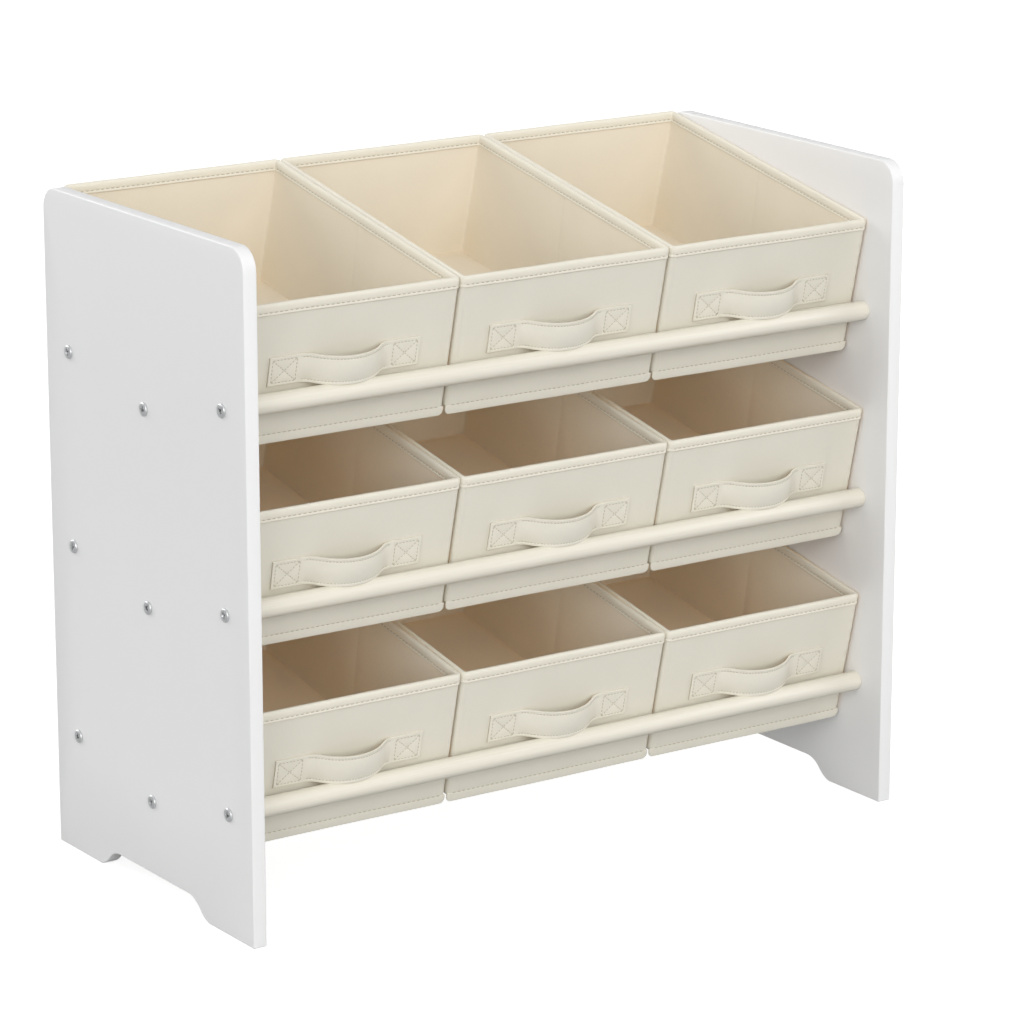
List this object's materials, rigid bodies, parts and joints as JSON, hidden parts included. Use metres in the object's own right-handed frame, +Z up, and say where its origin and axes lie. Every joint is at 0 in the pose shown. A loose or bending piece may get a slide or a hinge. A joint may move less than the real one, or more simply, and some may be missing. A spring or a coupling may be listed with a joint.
{
  "type": "sloping fabric bin organiser",
  "caption": "Free-standing storage organiser: two painted side panels joined by round dowels carry tiers of sloping, open, soft fabric bins with strap handles.",
  "frame": {"origin": "on the floor, below the middle of the whole object", "axes": "+X to the right as seen from the front, +Y to the back, +Z up"},
  "size_m": [0.6336, 0.3298, 0.5504],
  "materials": {
    "painted_board": "satin white paint on fibreboard",
    "dowel_wood": "satin off-white paint on a turned wood dowel",
    "screw_steel": "zinc-plated, slightly dull",
    "bin_fabric": "matt cream non-woven fabric",
    "bin_lining_fabric": "matt cream non-woven fabric",
    "grey_board": "raw grey board",
    "strap_webbing": "matt cream non-woven strap, stitched"
  },
  "bodies": {
    "frame": {"left_side_panel": "painted_board", "right_side_panel": "painted_board", "left_screws": "screw_steel", "right_screws": "screw_steel", "bottom_front_dowel": "dowel_wood", "bottom_mid_dowel": "dowel_wood", "bottom_rear_dowel": "dowel_wood", "middle_front_dowel": "dowel_wood", "middle_mid_dowel": "dowel_wood", "middle_rear_dowel": "dowel_wood", "top_front_dowel": "dowel_wood", "top_mid_dowel": "dowel_wood", "top_rear_dowel": "dowel_wood"},
    "bottom_left_bin": {"bottom_left_bin_cover": "bin_fabric", "bottom_left_bin_lining": "bin_lining_fabric", "bottom_left_bin_binding": "bin_fabric", "bottom_left_bin_boards": "grey_board", "bottom_left_bin_handle": "strap_webbing"},
    "bottom_centre_bin": {"bottom_centre_bin_cover": "bin_fabric", "bottom_centre_bin_lining": "bin_lining_fabric", "bottom_centre_bin_binding": "bin_fabric", "bottom_centre_bin_boards": "grey_board", "bottom_centre_bin_handle": "strap_webbing"},
    "bottom_right_bin": {"bottom_right_bin_cover": "bin_fabric", "bottom_right_bin_lining": "bin_lining_fabric", "bottom_right_bin_binding": "bin_fabric", "bottom_right_bin_boards": "grey_board", "bottom_right_bin_handle": "strap_webbing"},
    "middle_left_bin": {"middle_left_bin_cover": "bin_fabric", "middle_left_bin_lining": "bin_lining_fabric", "middle_left_bin_binding": "bin_fabric", "middle_left_bin_boards": "grey_board", "middle_left_bin_handle": "strap_webbing"},
    "middle_centre_bin": {"middle_centre_bin_cover": "bin_fabric", "middle_centre_bin_lining": "bin_lining_fabric", "middle_centre_bin_binding": "bin_fabric", "middle_centre_bin_boards": "grey_board", "middle_centre_bin_handle": "strap_webbing"},
    "middle_right_bin": {"middle_right_bin_cover": "bin_fabric", "middle_right_bin_lining": "bin_lining_fabric", "middle_right_bin_binding": "bin_fabric", "middle_right_bin_boards": "grey_board", "middle_right_bin_handle": "strap_webbing"},
    "top_left_bin": {"top_left_bin_cover": "bin_fabric", "top_left_bin_lining": "bin_lining_fabric", "top_left_bin_binding": "bin_fabric", "top_left_bin_boards": "grey_board", "top_left_bin_handle": "strap_webbing"},
    "top_centre_bin": {"top_centre_bin_cover": "bin_fabric", "top_centre_bin_lining": "bin_lining_fabric", "top_centre_bin_binding": "bin_fabric", "top_centre_bin_boards": "grey_board", "top_centre_bin_handle": "strap_webbing"},
    "top_right_bin": {"top_right_bin_cover": "bin_fabric", "top_right_bin_lining": "bin_lining_fabric", "top_right_bin_binding": "bin_fabric", "top_right_bin_boards": "grey_board", "top_right_bin_handle": "strap_webbing"}
  },
  "joints": [
    {"name": "bottom_left_bin_tip", "type": "hinge", "parent": "frame", "child": "bottom_left_bin", "pos_m": [-0.2014, 0.10606, 0.1], "axis": [-1, 0, 0], "range_deg": [0, 10]},
    {"name": "bottom_centre_bin_tip", "type": "hinge", "parent": "frame", "child": "bottom_centre_bin", "pos_m": [0, 0.10606, 0.1], "axis": [-1, 0, 0], "range_deg": [0, 10]},
    {"name": "bottom_right_bin_tip", "type": "hinge", "parent": "frame", "child": "bottom_right_bin", "pos_m": [0.2014, 0.10606, 0.1], "axis": [-1, 0, 0], "range_deg": [0, 10]},
    {"name": "middle_left_bin_tip", "type": "hinge", "parent": "frame", "child": "middle_left_bin", "pos_m": [-0.2014, 0.10606, 0.2605], "axis": [-1, 0, 0], "range_deg": [0, 10]},
    {"name": "middle_centre_bin_tip", "type": "hinge", "parent": "frame", "child": "middle_centre_bin", "pos_m": [0, 0.10606, 0.2605], "axis": [-1, 0, 0], "range_deg": [0, 10]},
    {"name": "middle_right_bin_tip", "type": "hinge", "parent": "frame", "child": "middle_right_bin", "pos_m": [0.2014, 0.10606, 0.2605], "axis": [-1, 0, 0], "range_deg": [0, 10]},
    {"name": "top_left_bin_lift", "type": "slide", "parent": "frame", "child": "top_left_bin", "axis": [0, -0.1889, 0.982], "range_m": [0, 0.17]},
    {"name": "top_centre_bin_lift", "type": "slide", "parent": "frame", "child": "top_centre_bin", "axis": [0, -0.1889, 0.982], "range_m": [0, 0.17]},
    {"name": "top_right_bin_lift", "type": "slide", "parent": "frame", "child": "top_right_bin", "axis": [0, -0.1889, 0.982], "range_m": [0, 0.17]}
  ]
}
